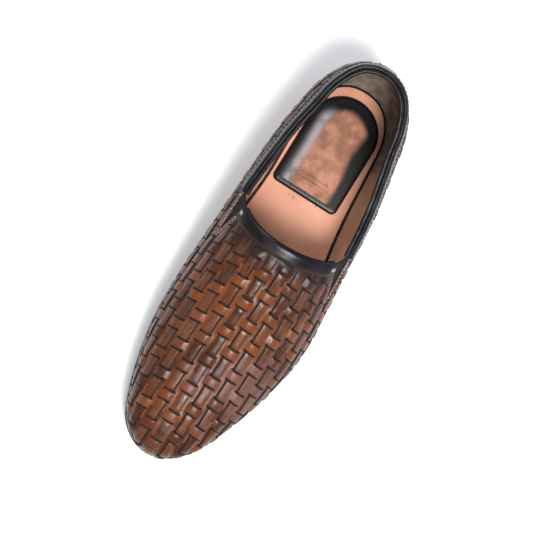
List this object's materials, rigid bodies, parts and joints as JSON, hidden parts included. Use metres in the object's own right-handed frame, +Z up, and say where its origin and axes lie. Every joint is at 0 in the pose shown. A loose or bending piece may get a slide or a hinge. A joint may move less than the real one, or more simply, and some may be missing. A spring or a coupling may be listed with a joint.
{
  "type": "woven leather loafer",
  "caption": "Slip-on loafer with a woven leather upper, folded bindings, elastic gores, padded insole and a low wedge sole.",
  "frame": {"origin": "on the floor, under the middle of the heel's flat spot", "axes": "+X from heel to toe, +Y to the lateral side of this left shoe, +Z up"},
  "size_m": [0.2977, 0.0984, 0.0862],
  "materials": {
    "sole_rubber": "matt",
    "midsole_edge": "burnished satin",
    "insole_leather": "natural matt",
    "pad_leather": "burnished, scuffed",
    "woven_leather": "polished and burnished",
    "black_binding": "glossy",
    "elastic": "ribbed matt"
  },
  "bodies": {
    "root": {"outsole": "sole_rubber", "midsole": "midsole_edge", "insole": "insole_leather", "heel_pad": "pad_leather", "upper": "woven_leather", "collar_binding": "black_binding", "throat_binding": "black_binding", "gore_lateral": "elastic", "gore_medial": "elastic", "backstay": "black_binding"}
  },
  "joints": []
}
